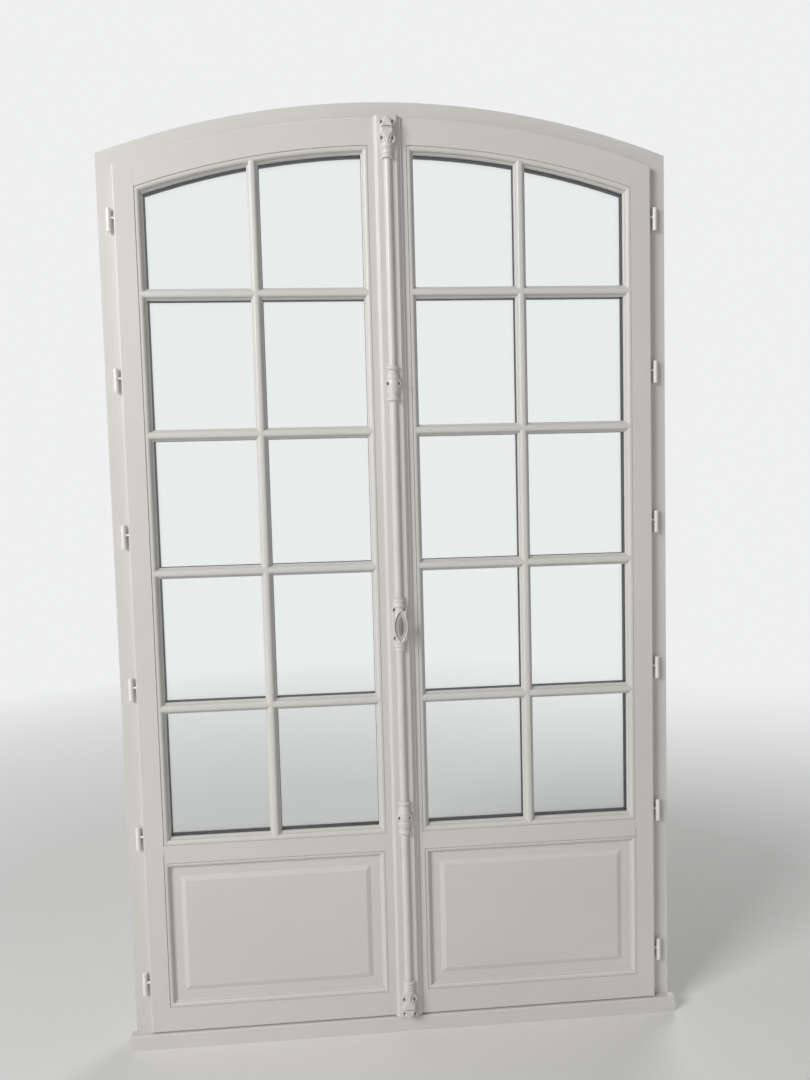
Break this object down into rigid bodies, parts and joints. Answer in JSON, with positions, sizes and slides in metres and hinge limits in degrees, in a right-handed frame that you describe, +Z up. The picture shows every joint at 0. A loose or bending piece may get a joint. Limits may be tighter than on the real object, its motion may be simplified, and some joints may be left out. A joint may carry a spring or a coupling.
{
  "type": "french doors",
  "caption": "Arched inward-opening glazed french doors in their own frame, with raised lower panels and an ornamental surface bolt.",
  "frame": {"origin": "on the floor, midway between the jambs, in the plane of the leaves' room-side face", "axes": "+X to the right seen from the room, +Y towards outdoors, +Z up"},
  "size_m": [1.372, 0.162, 2.272],
  "materials": {
    "painted_wood": "satin white paint",
    "painted_casting": "brushed-on white paint over an iron casting",
    "painted_hinge": "white painted steel",
    "clear_glass": "clear float glass",
    "dark_spacer": "dark warm-edge spacer",
    "seal_rubber": "pale rubber",
    "plain_steel": "zinc-plated steel"
  },
  "bodies": {
    "frame": {"right_jamb": "painted_wood", "left_jamb": "painted_wood", "arched_head": "painted_wood", "sill_rail": "painted_wood", "sill_board": "painted_wood", "weather_seal": "seal_rubber", "bolt_keeps": "plain_steel", "frame_knuckles": "painted_hinge", "hinge_pins": "plain_steel"},
    "right_leaf": {"right_hinge_stile": "painted_wood", "right_meeting_stile": "painted_wood", "right_top_rail": "painted_wood", "right_mid_rail": "painted_wood", "right_bottom_rail": "painted_wood", "right_raised_panel": "painted_wood", "right_glazing_bars": "painted_wood", "right_outer_glazing_bars": "painted_wood", "right_glazing_beads": "painted_wood", "right_panel_beads": "painted_wood", "right_drip_rail": "painted_wood", "right_inner_pane": "clear_glass", "right_outer_pane": "clear_glass", "right_spacer_grid": "dark_spacer", "right_leaf_knuckles": "painted_hinge", "cover_strip": "painted_wood", "edge_plate": "plain_steel", "lock_case": "plain_steel", "top_cap": "painted_casting", "bottom_cap": "painted_casting", "upper_guide": "painted_casting", "lower_guide": "painted_casting", "handle_box": "painted_casting", "upper_rod": "painted_casting", "lower_rod": "painted_casting", "trim_screws": "painted_casting"},
    "left_leaf": {"left_hinge_stile": "painted_wood", "left_meeting_stile": "painted_wood", "left_top_rail": "painted_wood", "left_mid_rail": "painted_wood", "left_bottom_rail": "painted_wood", "left_raised_panel": "painted_wood", "left_glazing_bars": "painted_wood", "left_outer_glazing_bars": "painted_wood", "left_glazing_beads": "painted_wood", "left_panel_beads": "painted_wood", "left_drip_rail": "painted_wood", "left_inner_pane": "clear_glass", "left_outer_pane": "clear_glass", "left_spacer_grid": "dark_spacer", "left_leaf_knuckles": "painted_hinge", "passive_edge_plates": "plain_steel"},
    "knob_set": {"knob": "painted_casting", "spindle": "plain_steel", "pinion": "plain_steel"},
    "upper_bolt_bar": {"upper_bolt": "plain_steel"},
    "lower_bolt_bar": {"lower_bolt": "plain_steel"},
    "passive_upper_bar": {"passive_upper_bolt": "plain_steel"},
    "passive_lower_bar": {"passive_lower_bolt": "plain_steel"}
  },
  "joints": [
    {"name": "right_leaf_swing", "type": "hinge", "parent": "frame", "child": "right_leaf", "pos_m": [0.6482, 0.01, 0.1611], "axis": [0, 0, 1], "range_deg": [0, 110]},
    {"name": "left_leaf_swing", "type": "hinge", "parent": "frame", "child": "left_leaf", "pos_m": [-0.6482, 0.01, 0.1611], "axis": [0, 0, -1], "range_deg": [0, 110]},
    {"name": "knob_turn", "type": "hinge", "parent": "right_leaf", "child": "knob_set", "pos_m": [0, -0.03, 1.036], "axis": [0, 1, 0], "range_deg": [0, 180]},
    {"name": "upper_bolt_slide", "type": "slide", "parent": "right_leaf", "child": "upper_bolt_bar", "axis": [0, 0, 1], "range_m": [0, 0.02]},
    {"name": "lower_bolt_slide", "type": "slide", "parent": "right_leaf", "child": "lower_bolt_bar", "axis": [0, 0, -1], "range_m": [0, 0.02]},
    {"name": "passive_upper_slide", "type": "slide", "parent": "left_leaf", "child": "passive_upper_bar", "axis": [0, 0, 1], "range_m": [0, 0.02]},
    {"name": "passive_lower_slide", "type": "slide", "parent": "left_leaf", "child": "passive_lower_bar", "axis": [0, 0, -1], "range_m": [0, 0.02]}
  ],
  "couplings": [
    {"joint": "left_leaf_swing", "follows": "right_leaf_swing", "ratio": 1},
    {"joint": "upper_bolt_slide", "follows": "knob_turn", "m_per_rad": 0.006366},
    {"joint": "lower_bolt_slide", "follows": "knob_turn", "m_per_rad": 0.006366}
  ]
}
